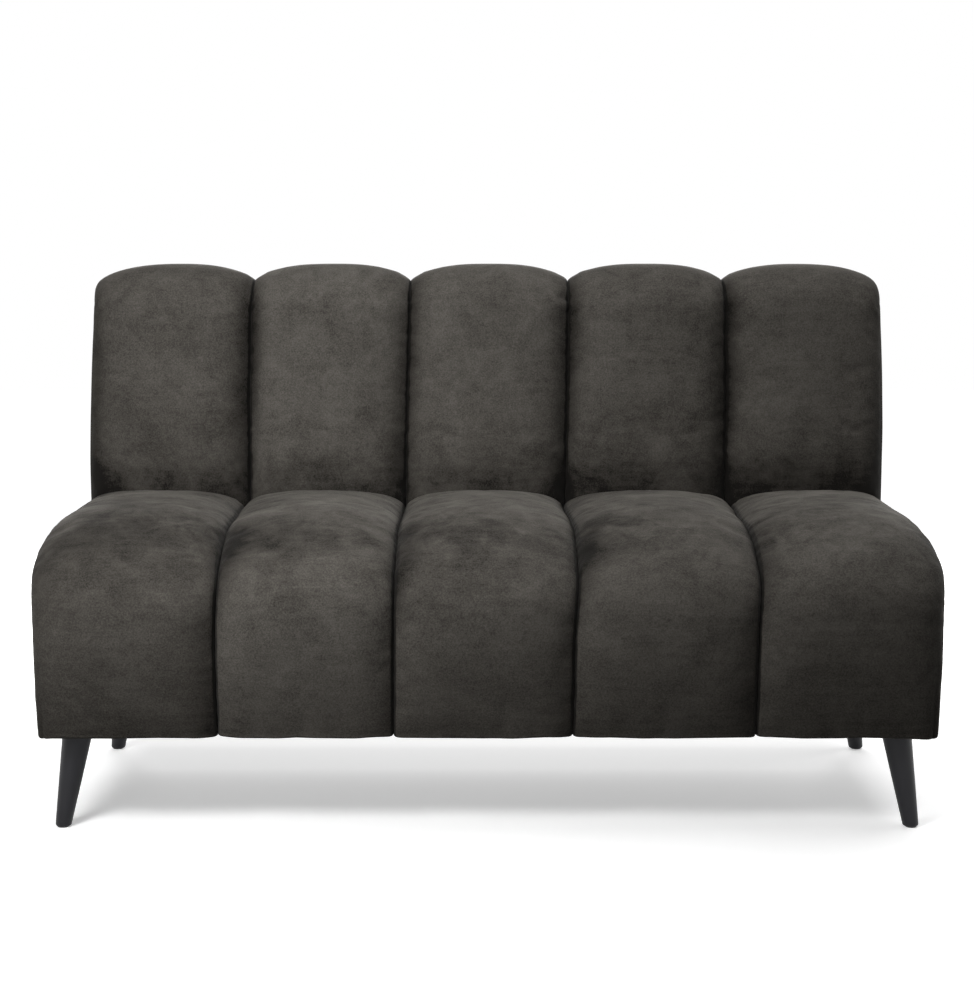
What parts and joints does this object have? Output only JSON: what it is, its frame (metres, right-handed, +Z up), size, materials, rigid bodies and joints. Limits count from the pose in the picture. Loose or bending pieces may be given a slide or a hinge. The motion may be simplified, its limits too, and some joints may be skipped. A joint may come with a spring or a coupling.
{
  "type": "banquette",
  "caption": "Armless upholstered two-seat banquette with a vertically channelled back, a waterfall channelled seat and tapered splayed legs.",
  "frame": {"origin": "on the floor, under the middle of the banquette's width and depth", "axes": "+Z up, +X to the right of someone facing the front, -Y towards the front"},
  "size_m": [1.37, 0.723, 0.86],
  "materials": {
    "velvet": "short-pile velvet, warm dark grey",
    "leg_black": "satin black lacquer",
    "timber": "sawn hardwood",
    "dowel_beech": "fluted beech",
    "zinc_steel": "zinc plated",
    "spring_steel": "oiled spring wire",
    "hessian": "jute hessian",
    "webbing": "elastic webbing",
    "foam": "open-cell upholstery foam",
    "dust_cloth": "black cambric",
    "glide_plastic": "black nylon"
  },
  "bodies": {
    "root": {"back_bolt_nuts": "zinc_steel", "back_bolt_washers": "zinc_steel", "back_bolts": "zinc_steel", "back_channel_1": "velvet", "back_channel_2": "velvet", "back_channel_3": "velvet", "back_channel_4": "velvet", "back_channel_5": "velvet", "back_foam": "foam", "back_frame_dowels": "dowel_beech", "back_hessian": "hessian", "back_left_inner_post": "timber", "back_left_post": "timber", "back_left_side_panel": "velvet", "back_level_straps": "webbing", "back_right_inner_post": "timber", "back_right_post": "timber", "back_right_side_panel": "velvet", "back_tack_rails": "timber", "back_top_rail": "timber", "back_upright_straps": "webbing", "corner_blocks": "timber", "dust_cover": "dust_cloth", "front_left_leg": "leg_black", "front_right_leg": "leg_black", "leg_centre_screws": "zinc_steel", "leg_glides": "glide_plastic", "leg_plate_screws": "zinc_steel", "leg_plates": "zinc_steel", "outside_back_panel": "velvet", "rear_left_leg": "leg_black", "rear_right_leg": "leg_black", "seat_channel_1": "velvet", "seat_channel_2": "velvet", "seat_channel_3": "velvet", "seat_channel_4": "velvet", "seat_channel_5": "velvet", "seat_foam": "foam", "seat_frame_dowels": "dowel_beech", "seat_front_foam": "foam", "seat_front_rail": "timber", "seat_hessian": "hessian", "seat_left_cross_rail": "timber", "seat_left_side_panel": "velvet", "seat_left_side_rail": "timber", "seat_rear_rail": "timber", "seat_right_cross_rail": "timber", "seat_right_side_panel": "velvet", "seat_right_side_rail": "timber", "seat_springs": "spring_steel", "spring_clips": "zinc_steel", "spring_tie_wires": "spring_steel"}
  },
  "joints": []
}
